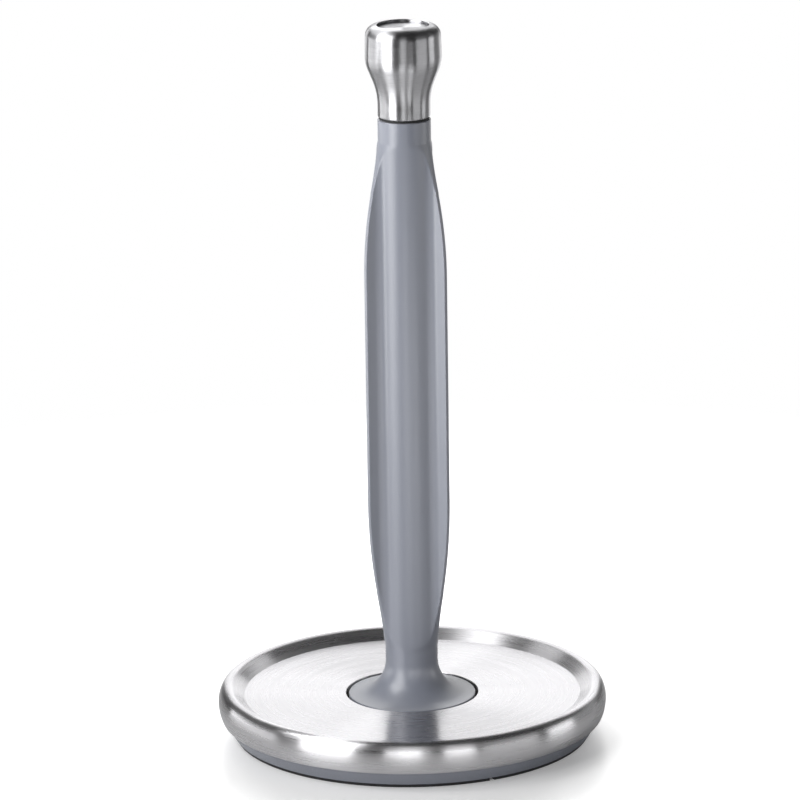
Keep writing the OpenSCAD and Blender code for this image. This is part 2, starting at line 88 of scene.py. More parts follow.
def add_node(
    tree: bpy.types.NodeTree, kind: str, sockets: dict | None = None, **settings
) -> bpy.types.Node:
    """Adds one node to a tree.

    Args:
        tree: The node tree that gets it.
        kind: The node's type.
        sockets: For each input, by name or number, a value or the output that feeds it.
        **settings: The node's own properties.

    Returns:
        The new node.
    """
    node = tree.nodes.new(kind)
    for name, value in settings.items():
        setattr(node, name, value)
    for key, value in (sockets or {}).items():
        if isinstance(value, bpy.types.NodeSocket):
            tree.links.new(value, node.inputs[key])
        else:
            node.inputs[key].default_value = value
    return node


def new_material(name: str) -> tuple[bpy.types.Material, bpy.types.NodeTree]:
    """Makes an empty node material.

    Args:
        name: The material's name.

    Returns:
        The material and its node tree.
    """
    material = bpy.data.materials.new(name)
    material.use_nodes = True
    material.node_tree.nodes.clear()
    return material, material.node_tree


def per_metre(pitch_mm: float) -> float:
    """How often a pattern of this pitch, in millimetres, repeats in a metre."""
    return 1.0 / (pitch_mm * MM)


# ---------------------------------------------------------------- finishes


@dataclass(frozen=True)
class Finish:
    """Two close tones, a roughness that wavers about its value, and a fine relief.

    Pitch and depth are in millimetres. Real brush lines, moulded grain and turning marks are 0.05
    to 0.2 mm wide, too fine to show, so each pitch is as coarse as it needs to be to show.
    """

    name: str
    low_tone: str
    high_tone: str
    roughness: float
    pitch: float
    depth: float
    spread: float = 0.04

    def surface(
        self,
        tree: bpy.types.NodeTree,
        tone: bpy.types.NodeSocket,
        waver: bpy.types.NodeSocket,
        relief: bpy.types.NodeSocket,
        sockets: dict,
    ) -> None:
        """Turns three patterns into the tones, the roughness and the relief of a shader.

        Args:
            tree: The material's node tree.
            tone: The pattern that blends the two tones.
            waver: The pattern that moves the roughness.
            relief: The pattern that gives the height.
            sockets: What else the shader is set to.
        """
        tones = {0: tone, 6: linear(self.low_tone), 7: linear(self.high_tone)}
        colour = add_node(tree, "ShaderNodeMix", tones, data_type="RGBA")
        rough = add_node(
            tree,
            "ShaderNodeMapRange",
            {
                "Value": waver,
                "From Min": NOISE_LOW,
                "From Max": NOISE_HIGH,
                "To Min": self.roughness - self.spread,
                "To Max": self.roughness + self.spread,
            },
        )
        height = {"Height": relief, "Distance": self.depth * MM, "Strength": 1.0}
        bump = add_node(tree, "ShaderNodeBump", height)
        shader = add_node(
            tree,
            "ShaderNodeBsdfPrincipled",
            {
                "Base Color": colour.outputs[2],
                "Roughness": rough.outputs[0],
                "Normal": bump.outputs[0],
                **sockets,
            },
        )
        add_node(tree, "ShaderNodeOutputMaterial", {"Surface": shader.outputs[0]})


@dataclass(frozen=True)
class BrushedSteel(Finish):
    """Stainless steel, drawn or spun, then brushed while it turns on a lathe.

    The brushing leaves fine rings round the axis, which smear a reflection across them and
    leave it sharp along them.
    """

    low_tone: str = "#c4c3c6"
    high_tone: str = "#d6d5d7"
    roughness: float = 0.28
    pitch: float = 0.8
    depth: float = 0.0005
    spread: float = 0.03
    anisotropy: float = 0.92
    # How far the pattern runs, in its own units, while a brush line goes round once
    waves: float = 4.0

    def build(self) -> bpy.types.Material:
        """Makes the material.

        Returns:
            The brushed steel.
        """
        material, tree = new_material(self.name)
        place = add_node(tree, "ShaderNodeTexCoord").outputs["Object"]
        no_height = {0: place, 1: (1, 1, 0)}
        flat = add_node(tree, "ShaderNodeVectorMath", no_height, operation="MULTIPLY").outputs[0]
        reach = add_node(tree, "ShaderNodeVectorMath", {0: flat}, operation="LENGTH")
        heading = add_node(tree, "ShaderNodeVectorMath", {0: flat}, operation="NORMALIZE")
        compass = add_node(tree, "ShaderNodeSeparateXYZ", {0: heading.outputs[0]})
        height = add_node(tree, "ShaderNodeSeparateXYZ", {0: place})
        # Rings: quick change across the brushing, slow change along it, with no seam
        lines = per_metre(self.pitch)
        across, upward, along, aside = (
            add_node(tree, "ShaderNodeMath", {0: source, 1: times}, operation="MULTIPLY").outputs[0]
            for source, times in (
                (reach.outputs["Value"], lines),
                (height.outputs["Z"], lines),
                (compass.outputs["X"], self.waves),
                (compass.outputs["Y"], self.waves),
            )
        )
        ring = add_node(tree, "ShaderNodeCombineXYZ", {0: across, 1: upward, 2: along}).outputs[0]
        scratch, waver = (
            add_node(
                tree,
                "ShaderNodeTexNoise",
                {"Vector": ring, "W": aside, "Scale": scale, "Detail": detail, "Roughness": harsh},
                noise_dimensions="4D",
            ).outputs["Fac"]
            for scale, detail, harsh in ((1.0, 3.0, 0.65), (0.5, 2.0, 0.5))
        )
        tangent = add_node(tree, "ShaderNodeTangent", direction_type="RADIAL", axis="Z")
        # A quarter turn lays the smear across the rings
        self.surface(
            tree,
            scratch,
            waver,
            scratch,
            {
                "Metallic": 1.0,
                "Anisotropic": self.anisotropy,
                "Anisotropic Rotation": 0.25,
                "Tangent": tangent.outputs[0],
            },
        )
        return material


@dataclass(frozen=True)
class Moulded(Finish):
    """A plastic or rubber, injection moulded in a tool with a fine spark-eroded or matt face.

    The grain breaks a highlight up softly, and the colour drifts a little over the piece.
    """

    ior: float = 1.5
    sheen: float = 0.0
    # Width of the clouds that the colour drifts in
    cloud: float = 24.0

    def build(self) -> bpy.types.Material:
        """Makes the material.

        Returns:
            The moulded plastic or rubber.
        """
        material, tree = new_material(self.name)
        place = add_node(tree, "ShaderNodeTexCoord").outputs["Object"]
        clouds, grain = (
            add_node(
                tree,
                "ShaderNodeTexNoise",
                {"Vector": place, "Scale": per_metre(width), "Detail": detail, "Roughness": harsh},
            ).outputs["Fac"]
            for width, detail, harsh in ((self.cloud, 3.0, 0.5), (self.pitch, 2.0, 0.6))
        )
        self.surface(tree, clouds, grain, grain, {"IOR": self.ior, "Sheen Weight": self.sheen})
        return material


@dataclass(frozen=True)
class PlainMetal(Finish):
    """A metal part that is cast, turned or plated, with the marks of that on its surface.

    The marks blur its reflections unevenly, and its tone changes in wider blotches.
    """

    spread: float = 0.07
    # Width of a blotch, in grains
    blotch: float = 9.0

    def build(self) -> bpy.types.Material:
        """Makes the material.

        Returns:
            The metal.
        """
        material, tree = new_material(self.name)
        place = add_node(tree, "ShaderNodeTexCoord").outputs["Object"]
        grain, blotches = (
            add_node(
                tree,
                "ShaderNodeTexNoise",
                {"Vector": place, "Scale": per_metre(width), "Detail": detail, "Roughness": harsh},
            ).outputs["Fac"]
            for width, detail, harsh in (
                (self.pitch, 4.0, 0.6),
                (self.pitch * self.blotch, 3.0, 0.5),
            )
        )
        self.surface(tree, blotches, blotches, grain, {"Metallic": 1.0})
        return material


# ---------------------------------------------------------------- modelling


class Outline:
    """An outline in the plane of the axis, drawn by one moving point and then turned on the axis.

    Reach is the distance from the axis. Sizes are in millimetres.
    """

    def __init__(self, reach: float, height: float) -> None:
        """Puts the pen down.

        Args:
            reach: Distance from the axis.
            height: Height above the table.
        """
        self.mesh = bmesh.new()
        self.first = self.mesh.verts.new(Vector((reach, 0, height)) * MM)
        self.tip = self.first

    def line(self, reach: float, height: float) -> "Outline":
        """Draws a straight line to a point.

        Args:
            reach: The point's distance from the axis.
            height: The point's height.

        Returns:
            This outline.
        """
        made = bmesh.ops.extrude_vert_indiv(self.mesh, verts=[self.tip])
        self.tip = made["verts"][0]
        self.tip.co = Vector((reach, 0, height)) * MM
        return self

    def arc(self, reach: float, height: float, turn: float, steps: int) -> "Outline":
        """Swings the pen round a centre.

        Args:
            reach: The centre's distance from the axis.
            height: The centre's height.
            turn: Angle in degrees, positive from outward to up.
            steps: Number of straight pieces.

        Returns:
            This outline.
        """
        made = bmesh.ops.spin(
            self.mesh,
            geom=[self.tip],
            cent=Vector((reach, 0, height)) * MM,
            axis=(0, -1, 0),
            angle=math.radians(turn),
            steps=steps,
        )
        self.tip = next(g for g in made["geom_last"] if isinstance(g, bmesh.types.BMVert))
        return self

    def close(self) -> "Outline":
        """Joins the last point to the first and returns this outline."""
        self.mesh.edges.new((self.tip, self.first))
        return self

    def turned(self, steps: int) -> bmesh.types.BMesh:
        """Turns the outline once round the axis.

        Args:
            steps: Number of steps in the full turn.

        Returns:
            The mesh, with no doubles and its faces pointing outwards.
        """
        bmesh.ops.spin(
            self.mesh,
            geom=self.mesh.verts[:] + self.mesh.edges[:],
            cent=(0, 0, 0),
            axis=UP,
            angle=math.tau,
            steps=steps,
            use_merge=True,
        )
        bmesh.ops.remove_doubles(self.mesh, verts=self.mesh.verts, dist=WELD * MM)
        bmesh.ops.recalc_face_normals(self.mesh, faces=self.mesh.faces)
        return self.mesh


def make_piece(
    shape: bmesh.types.BMesh,
    name: str,
    body: Body,
    material: bpy.types.Material,
    stands_for: str,
    crease: float = 40.0,
) -> bpy.types.Object:
    """Turns a finished bmesh into a piece of the holder.

    Args:
        shape: The mesh, in place and in metres. It is freed.
        name: The piece's name.
        body: The body that it moves with.
        material: Its finish.
        stands_for: The CAD node that it replaces.
        crease: Angle in degrees past which an edge is drawn sharp.

    Returns:
        The new object.
    """
    mesh = bpy.data.meshes.new(name)
    shape.to_mesh(mesh)
    shape.free()
    mesh.shade_smooth()
    mesh.set_sharp_from_angle(angle=math.radians(crease))
    mesh.materials.append(material)
    piece = bpy.data.objects.new(name, mesh)
    bpy.context.scene.collection.objects.link(piece)
    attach(piece, body.value)
    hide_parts(stands_for)
    log.info("%s: %d faces, rides on %s", name, len(mesh.polygons), body.value)
    return piece


def dress(nodes: dict, finishes: dict[str, bpy.types.Material]) -> None:
    """Gives CAD nodes their finish.

    Args:
        nodes: The frame's nodes by name.
        finishes: The material for each named node.
    """
    for name, material in finishes.items():
        for place in nodes[name].material_slots:
            place.material = material
        log.info("%s: dressed in %s", name, material.name)


def soft_min(a: float, b: float, k: float) -> float:
    """The lower of two values, rounded over k where they cross."""
    return min(a, b) - max(k - abs(a - b), 0.0) ** 2 / (4 * k)


# ---------------------------------------------------------------- base


@dataclass
class Base:
    """The weighted base: steel pan, cast weight, moulded cover and rubber foot segments."""

    nodes: dict
    # The rim's section: a crest, a side that turns on two radii, and a skirt
    rim_r: float = 95.0
    crest_r: float = 90.0
    rim_h: float = 24.5
    belly_h: float = 16.5
    crest_round: float = 4.0
    side_round: float = 12.5
    side_turn: float = 28.07
    skirt_round: float = 18.4
    skirt_turn: float = 24.05
    # The plate inside it, and the hole with its turned-down collar
    plate_r: float = 81.47
    plate_h: float = 19.6
    plate_fillet: float = 1.5
    rim_slope: float = 36.0
    sheet: float = 0.8
    hole_r: float = 32.35
    collar_h: float = 4.6
    # Bright sheet, brushed as it turned: reflections smear across its rings
    steel: BrushedSteel = BrushedSteel("brushed_stainless_pan")
    # ABS: even grey with a low shine, a little lighter where it looks along the table
    cover_plastic: Moulded = Moulded(
        "moulded_abs_cover", "#7f828b", "#7a7d86", roughness=0.24, pitch=0.5, depth=0.003, ior=1.52
    )
    # Rubber: nearly black and matt
    rubber: Moulded = Moulded(
        "moulded_rubber_foot", "#17171a", "#1f1f22", roughness=0.75, pitch=0.7, depth=0.012
    )
    # Sand-cast iron: dark and rough to the eye
    iron: PlainMetal = PlainMetal(
        "cast_iron_weight", "#4c4b4a", "#3b3937", roughness=0.62, pitch=1.2, depth=0.06
    )
    # Zinc plating: pale, cool and a little dull
    zinc: PlainMetal = PlainMetal(
        "zinc_plated_screw", "#b9bbbd", "#a7a9ab", roughness=0.33, pitch=0.3, depth=0.003
    )

    def pan(self) -> bpy.types.Object:
        """Builds the drawn steel pan with its sheet's thickness, rolled rim and turned-down collar.

        Returns:
            The pan.
        """
        t = self.sheet
        edge = t / 2
        crest_h = self.rim_h - self.crest_round
        side_at, skirt_at = self.rim_r - self.side_round, self.rim_r - self.skirt_round
        fillet_h = self.plate_h + self.plate_fillet
        line = Outline(self.hole_r, self.plate_h - self.collar_h)
        line.line(self.hole_r, self.plate_h - edge)
        line.arc(self.hole_r + edge, self.plate_h - edge, -90, steps=6)
        line.line(self.plate_r, self.plate_h)
        line.arc(self.plate_r, fillet_h, self.rim_slope, steps=8)
        slope = math.radians(90 + self.rim_slope)
        line.line(
            self.crest_r + self.crest_round * math.cos(slope),
            crest_h + self.crest_round * math.sin(slope),
        )
        line.arc(self.crest_r, crest_h, self.side_turn - 90 - self.rim_slope, steps=18)
        line.arc(side_at, self.belly_h, -self.side_turn, steps=10)
        line.arc(skirt_at, self.belly_h, -self.skirt_turn, steps=10)
        # The sheet's lower edge, then back along its inner side
        low = math.radians(-self.skirt_turn)
        middle = self.skirt_round - t + edge
        line.arc(
            skirt_at + middle * math.cos(low), self.belly_h + middle * math.sin(low), -180, steps=6
        )
        line.arc(skirt_at, self.belly_h, self.skirt_turn, steps=10)
        line.arc(side_at, self.belly_h, self.side_turn, steps=10)
        line.arc(self.crest_r, crest_h, 90 + self.rim_slope - self.side_turn, steps=14)
        foot = math.radians(-90 + self.rim_slope)
        line.line(
            self.plate_r + (self.plate_fillet + t) * math.cos(foot),
            fillet_h + (self.plate_fillet + t) * math.sin(foot),
        )
        line.arc(self.plate_r, fillet_h, -self.rim_slope, steps=8)
        line.line(self.hole_r + t, self.plate_h - t)
        line.line(self.hole_r + t, self.plate_h - self.collar_h)
        shape = line.close().turned(steps=256)
        steel = self.steel.build()
        return make_piece(shape, "steel_pan", Body.BASE, steel, "base_shell")

    def build(self) -> None:
        """Builds the base's pieces and dresses the rest."""
        self.pan()
        plastic, rubber = self.cover_plastic.build(), self.rubber.build()
        iron, zinc = self.iron.build(), self.zinc.build()
        dress(
            self.nodes,
            {
                "base_cover": plastic,
                "foot_segments": rubber,
                "base_weight": iron,
                "cover_screws": zinc,
            },
        )


# ---------------------------------------------------------------- mast

# From a fin to the middle of a flute, in radians, and the steps in which it is measured
SIXTH = math.pi / 3
FINE_STEPS = 6000


@dataclass
class Mast:
    """The turning mast: a stiff tube in a soft sleeve with three fins, a flange and two bushes."""

    nodes: dict
    # Necks, and the flange that flares out in the plate's hole
    neck_r: float = 12.75
    flange_r: float = 31.0
    flange_round: float = 0.4
    sleeve_foot_z: float = 17.0
    flange_z: float = 19.4
    flare_r: float = 17.0
    mast_top: float = 306.8
    core_r: float = 10.7
    # Fins: where they start and end, their reach, thickness, rounded tips and sloped ends
    fin_start: float = 44.0
    fin_end: float = 296.5
    fin_r: float = 22.4
    fin_t: float = 2.4
    tip_round: float = 0.35
    slope_low: float = 0.19
    slope_high: float = 0.22
    fin_blend: float = 4.8
    # Round panels between the fins, and the hollows that lead from them to a fin
    panel_r: float = 17.0
    panel_proud: float = 0.06
    flute_fillet: float = 6.0
    crease: float = 0.35
    # Where the first fin stands, and the hair that the mast is turned by, in degrees
    first_fin: float = -30.0
    fin_turn: float = -2.0
    # Mesh: columns from a fin to the middle of a flute, with more of them up to tip_angle in
    # radians, and rows, which are closer near the middle of a sloped end
    half_columns: int = 52
    tip_share: float = 3.0
    tip_angle: float = 0.056
    row_close: float = 0.9
    row_wide: float = 3.0
    slope_middle: float = 30.0
    slope_half: float = 38.0
    # Soft coat over plastic: mid grey with a silky shine that grows towards the edges, for
    # which its index is above the 1.5 of plain rubber
    grip: Moulded = Moulded(
        "soft_touch_elastomer",
        "#7f838f",
        "#7b7f8b",
        roughness=0.36,
        pitch=0.6,
        depth=0.0015,
        ior=1.85,
        sheen=0.4,
    )
    # Glass-filled nylon: dark, with a dry and slightly open face
    nylon: Moulded = Moulded(
        "glass_filled_nylon", "#3c3f45", "#34373c", roughness=0.5, pitch=0.5, depth=0.01, ior=1.53
    )
    # Acetal: milky and waxy
    acetal: Moulded = Moulded(
        "acetal_bearing", "#e4e2da", "#dddad1", roughness=0.32, pitch=0.6, depth=0.003, ior=1.48
    )
    # Rolled spring strip: warm grey and fairly bright
    spring: PlainMetal = PlainMetal(
        "rolled_spring_steel", "#a9a49a", "#948f86", roughness=0.3, pitch=0.3, depth=0.002
    )
    # Zinc plating: pale, cool and a little dull
    zinc: PlainMetal = PlainMetal(
        "zinc_plated_small_screw", "#b9bbbd", "#a7a9ab", roughness=0.33, pitch=0.3, depth=0.003
    )

    def fin_edge(self, height: float) -> float:
        """Reach of the fins' tips at a height: two slopes blended into a long edge."""
        rise = self.neck_r + self.slope_low * (height - self.fin_start)
        fall = self.neck_r + self.slope_high * (self.fin_end - height)
        return soft_min(soft_min(rise, fall, self.fin_blend), self.fin_r, self.fin_blend)

    @property
    def panel_centre(self) -> Vector:
        """Centre of the round panel beside a fin, in the fin's own directions."""
        offset = self.panel_r - self.neck_r - self.panel_proud
        return Vector((-offset * math.cos(SIXTH), -offset * math.sin(SIXTH)))

    @property
    def hollow_centre(self) -> Vector:
        """Centre of the hollow between a fin's side and the panel."""
        centre, across = self.panel_centre, self.fin_t / 2 + self.flute_fillet
        span = self.panel_r + self.flute_fillet
        return Vector((centre.x + math.sqrt(span**2 - (across - centre.y) ** 2), across))

    def flute(self, angle: float) -> float:
        """Reach of the round panels and of the hollows beside the fins.

        Args:
            angle: Angle in radians from the nearest fin, up to 60 degrees.

        Returns:
            The distance from the axis, in millimetres.
        """
        centre, hollow = self.panel_centre, self.hollow_centre
        touch = centre + (hollow - centre) * self.panel_r / (self.panel_r + self.flute_fillet)
        way = Vector((math.cos(angle), math.sin(angle)))
        if angle >= math.atan2(touch.y, touch.x):
            along = way.dot(centre)
            return along + math.sqrt(along**2 - centre.length_squared + self.panel_r**2)
        along = way.dot(hollow)
        inside = along**2 - hollow.length_squared + self.flute_fillet**2
        return along - math.sqrt(max(inside, 0.0))

    def section(self, angle: float, edge: float) -> float:
        """Reach of the sleeve where its fins reach out to edge.

        Args:
            angle: Angle in radians from the nearest fin.
            edge: Reach of the fin's tip, in millimetres.

        Returns:
            The distance from the axis, in millimetres.
        """
        # The tip is part of a circle round the axis, and its two edges are rounded into the sides
        half, small = self.fin_t / 2, self.tip_round
        corner = Vector((math.sqrt((edge - small) ** 2 - (half - small) ** 2), half - small))
        if angle <= math.atan2(corner.y, corner.x):
            fin = edge
        elif angle < math.atan2(half, corner.x):
            along = Vector((math.cos(angle), math.sin(angle))).dot(corner)
            fin = along + math.sqrt(max(along**2 - corner.length_squared + small**2, 0.0))
        else:
            fin = half / math.sin(angle)
        root = self.hollow_centre.x
        inside = self.flute(angle) if angle > math.atan2(half, root) else root
        # Where its two values are the same, soft_min takes off a quarter of the crease
        return soft_min(max(fin, inside), edge + self.crease / 4, self.crease)

    def columns(self) -> list[float]:
        """Angles from a fin to the middle of a flute, spaced evenly along the section's line.

        Returns:
            Angles in radians, from 0 to 60 degrees.
        """
        fine = [SIXTH * i / FINE_STEPS for i in range(FINE_STEPS + 1)]
        reach = [self.section(a, self.fin_r) for a in fine]
        run = [0.0]
        for i in range(1, len(fine)):
            step = math.hypot(reach[i] - reach[i - 1], reach[i] * (fine[i] - fine[i - 1]))
            # The tip's rounded edges get a larger share of the columns
            run.append(run[-1] + step * (self.tip_share if fine[i] < self.tip_angle else 1.0))
        marks = [run[-1] * i / self.half_columns for i in range(self.half_columns + 1)]
        return [fine[min(bisect_left(run, m), len(fine) - 1)] for m in marks]

    def outline(self) -> Outline:
        """Draws the sleeve's section along a fin's tip, from its foot up and back down its bore.

        Returns:
            The closed outline.
        """
        small, flare_top = self.flange_round, self.flange_z + self.flare_r
        line = Outline(self.core_r, self.sleeve_foot_z)
        line.line(self.flange_r - small, self.sleeve_foot_z)
        line.arc(self.flange_r - small, self.sleeve_foot_z + small, 90, steps=4)
        line.line(self.flange_r, self.flange_z - small)
        line.arc(self.flange_r - small, self.flange_z - small, 90, steps=4)
        line.line(self.neck_r + self.flare_r, self.flange_z)
        line.arc(self.neck_r + self.flare_r, flare_top, -90, steps=28)
        height, last_row = flare_top, self.fin_end - 0.5
        low_slope, high_slope = self.fin_start + self.slope_middle, self.fin_end - self.slope_middle
        while height < last_row:
            near = min(abs(height - low_slope), abs(high_slope - height))
            height += self.row_close if near < self.slope_half else self.row_wide
            reach = self.fin_edge(height) if self.fin_start < height < self.fin_end else self.neck_r
            line.line(reach, min(height, self.fin_end))
        line.line(self.neck_r, self.mast_top - small)
        line.arc(self.neck_r - small, self.mast_top - small, 90, steps=4)
        return line.line(self.core_r, self.mast_top).close()

    def sleeve(self) -> bpy.types.Object:
        """Builds the soft sleeve: a turned outline whose columns are pulled in to fins and flutes.

        Returns:
            The sleeve.
        """
        half = self.half_columns
        count = 6 * half
        shape = self.outline().turned(count)
        angles = self.columns()
        # Only what is above the flare and outside the bore is pulled in
        split = (self.flange_z + self.flare_r + self.fin_start) / 2 * MM
        bore = self.core_r + 0.5
        for vert in shape.verts:
            place = round(math.atan2(vert.co.y, vert.co.x) / math.tau * count) % count
            third, step = divmod(place, 2 * half)
            off = angles[step] if step <= half else angles[2 * half - step]
            turn = 2 * SIXTH * third + (off if step <= half else 2 * SIXTH - off)
            reach = math.hypot(vert.co.x, vert.co.y) / MM
            if vert.co.z > split and reach > bore:
                reach = min(reach, self.section(off, reach))
            vert.co = Vector((math.cos(turn) * reach * MM, math.sin(turn) * reach * MM, vert.co.z))
        turned = Matrix.Rotation(math.radians(self.fin_turn + self.first_fin), 3, "Z")
        bmesh.ops.rotate(shape, verts=shape.verts, cent=(0, 0, 0), matrix=turned)
        grip = self.grip.build()
        return make_piece(shape, "grip_sleeve", Body.MAST, grip, "mast_sleeve", crease=50)

    def build(self) -> None:
        """Builds the sleeve and dresses what is inside it."""
        self.sleeve()
        nylon, acetal = self.nylon.build(), self.acetal.build()
        dress(
            self.nodes,
            {
                "mast_core": nylon,
                "spring_carrier": nylon,
                "lower_bush": acetal,
                "upper_bush": acetal,
                "click_springs": self.spring.build(),
                "carrier_screws": self.zinc.build(),
            },
        )


# ---------------------------------------------------------------- hub and rod


@dataclass
class Hub:
    """What holds the mast in the base: cup, click ring, washer, rod, nut, clip and screws."""

    nodes: dict
    # Nylon: near black, satin
    plastic: Moulded = Moulded(
        "moulded_nylon_cup", "#2b2d31", "#25272b", roughness=0.5, pitch=0.5, depth=0.01, ior=1.53
    )
    # Acetal: milky and waxy
    acetal: Moulded = Moulded(
        "acetal_click_ring", "#e4e2da", "#dddad1", roughness=0.32, pitch=0.6, depth=0.003, ior=1.48
    )
    # Cold-drawn steel: smooth and fairly bright
    rod: PlainMetal = PlainMetal(
        "drawn_steel_rod", "#b4b6b9", "#a2a4a7", roughness=0.3, pitch=0.25, depth=0.003
    )

    def build(self) -> None:
        """Dresses the hub's CAD nodes."""
        plastic, acetal, rod = self.plastic.build(), self.acetal.build(), self.rod.build()
        dress(
            self.nodes,
            {
                "hub_cup": plastic,
                "click_ring": acetal,
                "thrust_washer": acetal,
                "centre_rod": rod,
                "rod_washer": rod,
                "rod_nut": rod,
                "retaining_clip": rod,
                "cup_screws": rod,
            },
        )


# ---------------------------------------------------------------- knob


@dataclass
class Knob:
    """The knob: a spun steel shell on a moulded core, a disc in its dish and a washer below."""

    nodes: dict
    # The flank: a hollow curve above the neck, a full curve at the widest place, a round shoulder
    knob_z: float = 308.0
    top_z: float = 352.5
    neck_r: float = 12.68
    neck_z: float = 314.0
    max_r: float = 18.4
    wide_z: float = 337.5
    hollow: float = 31.0
    belly: float = 17.0
    shoulder: float = 5.2
    shoulder_r: float = 18.1
    # The dish with its disc, and the turned-in foot with its washer
    dish_r: float = 12.35
    dish_z: float = 351.05
    disc_t: float = 0.8
    sheet: float = 0.8
    foot_lap: float = 1.0
    gasket_r: float = 12.08
    gasket_z: float = 307.1
    gasket_t: float = 0.9
    rod_r: float = 4.0
    slip: float = 0.02
    # Spun sheet brushed finer than the pan: soft upright bands of light
    steel: BrushedSteel = BrushedSteel(
        "lathe_brushed_stainless_knob",
        "#a8a8ab",
        "#c6c6c8",
        roughness=0.31,
        pitch=0.6,
        depth=0.00008,
    )
    # Rubber: black, dull
    rubber: Moulded = Moulded(
        "moulded_rubber_washer", "#101012", "#161618", roughness=0.6, pitch=0.5, depth=0.008
    )
    # ABS: dark grey, satin
    core: Moulded = Moulded(
        "moulded_abs_core", "#3a3c40", "#333539", roughness=0.5, pitch=0.6, depth=0.01, ior=1.52
    )
    # Turned brass: warm yellow and bright
    brass: PlainMetal = PlainMetal(
        "turned_brass_insert", "#d9b36a", "#c9a157", roughness=0.28, pitch=0.25, depth=0.003
    )

    @property
    def slope(self) -> float:
        """Angle of the line that touches both the hollow and the full curve, in degrees."""
        run = self.neck_r + self.hollow - (self.max_r - self.belly)
        rise = self.wide_z - self.neck_z
        return math.degrees(
            math.atan2(rise, run) - math.acos((self.hollow + self.belly) / math.hypot(run, rise))
        )

    def shell(self, steel: bpy.types.Material) -> bpy.types.Object:
        """Builds the knob's shell, from its open foot up the hollow flank to the lip of the dish.

        Args:
            steel: The brushed steel.

        Returns:
            The shell.
        """
        t, slope = self.sheet, math.radians(self.slope)
        lip = t / 2
        dip = self.dish_z - self.disc_t
        hollow_at, belly_at = self.neck_r + self.hollow, self.max_r - self.belly
        shoulder_at, shoulder_h = self.shoulder_r - self.shoulder, self.top_z - self.shoulder
        line = Outline(self.gasket_r - self.foot_lap, self.knob_z)
        line.line(self.neck_r - t, self.knob_z)
        line.arc(self.neck_r - t, self.knob_z + t, 90, steps=5)
        line.line(self.neck_r, self.neck_z)
        line.arc(hollow_at, self.neck_z, -self.slope, steps=14)
        line.line(
            belly_at + self.belly * math.cos(slope), self.wide_z - self.belly * math.sin(slope)
        )
        line.arc(belly_at, self.wide_z, self.slope, steps=12)
        line.line(self.shoulder_r, shoulder_h)
        line.arc(shoulder_at, shoulder_h, 90, steps=14)
        line.line(self.dish_r + lip, self.top_z)
        line.arc(self.dish_r + lip, self.top_z - lip, 90, steps=6)
        line.line(self.dish_r, dip).line(self.dish_r + t, dip)
        # Back down along the sheet's inner side
        line.line(self.dish_r + t, self.top_z - t).line(shoulder_at, self.top_z - t)
        line.arc(shoulder_at, shoulder_h, -90, steps=10)
        line.line(self.max_r - t, self.wide_z)
        line.arc(belly_at, self.wide_z, -self.slope, steps=8)
        line.line(
            hollow_at - (self.hollow + t) * math.cos(slope),
            self.neck_z + (self.hollow + t) * math.sin(slope),
        )
        line.arc(hollow_at, self.neck_z, self.slope, steps=8)
        line.line(self.neck_r - t, self.knob_z + t)
        line.line(self.gasket_r - self.foot_lap, self.knob_z + t)
        shape = line.close().turned(steps=192)
        return make_piece(shape, "knob_steel_shell", Body.BASE, steel, "knob_shell")

    def disc(self, steel: bpy.types.Material) -> bpy.types.Object:
        """Builds the pressed disc in the dish, with a small rounded edge.

        Args:
            steel: The brushed steel.

        Returns:
            The disc.
        """
        out, low, edge = self.dish_r - self.slip, self.dish_z - self.disc_t, 0.25
        line = Outline(0, low).line(out, low).line(out, self.dish_z - edge)
        line.arc(out - edge, self.dish_z - edge, 90, steps=4)
        shape = line.line(0, self.dish_z).turned(steps=128)
        return make_piece(shape, "knob_dish_disc", Body.BASE, steel, "knob_disc")

    def washer(self) -> bpy.types.Object:
        """Builds the black washer under the knob, with rounded edges.

        Returns:
            The washer.
        """
        low, high, edge = self.gasket_z, self.gasket_z + self.gasket_t, 0.2
        bore = self.rod_r + self.slip
        line = Outline(bore, low).line(self.gasket_r - edge, low)
        line.arc(self.gasket_r - edge, low + edge, 90, steps=3).line(self.gasket_r, high - edge)
        line.arc(self.gasket_r - edge, high - edge, 90, steps=3).line(bore, high)
        shape, rubber = line.close().turned(steps=128), self.rubber.build()
        return make_piece(shape, "knob_washer", Body.BASE, rubber, "knob_gasket")

    def build(self) -> None:
        """Builds the knob's pieces and dresses its core and insert."""
        steel = self.steel.build()
        self.shell(steel)
        self.disc(steel)
        self.washer()
        dress(self.nodes, {"knob_core": self.core.build(), "knob_insert": self.brass.build()})


# ---------------------------------------------------------------- studio


@dataclass(frozen=True)
class Softbox:
    """A flat, evenly lit panel that stands round the object, upright and facing its axis.

    Azimuth is measured from the camera's side towards the object's right, in degrees. Sizes are
    in metres, low and high are the heights of its edges, and the camera doesn't see it.
    """

    name: str
    azimuth: float
    distance: float
    low: float
    high: float
    width: float
    radiance: float

    def build(self) -> None:
        """Hangs the lamp and turns it to the object's axis."""
        way = math.radians(self.azimuth)
        middle = (self.low + self.high) / 2
        place = Vector((self.distance * math.sin(way), -self.distance * math.cos(way), middle))
        aim = Vector((0.0, 0.0, middle))
        lamp = bpy.data.lights.new(self.name, "AREA")
        lamp.shape = "RECTANGLE"
        lamp.size, lamp.size_y = self.width, self.high - self.low
        lamp.energy = self.radiance * lamp.size * lamp.size_y * LAMP_WATTS
        holder = bpy.data.objects.new(self.name, lamp)
        bpy.context.scene.collection.objects.link(holder)
        holder.location = place
        holder.rotation_euler = (aim - place).to_track_quat("-Z", "Y").to_euler()
        holder.visible_camera = False


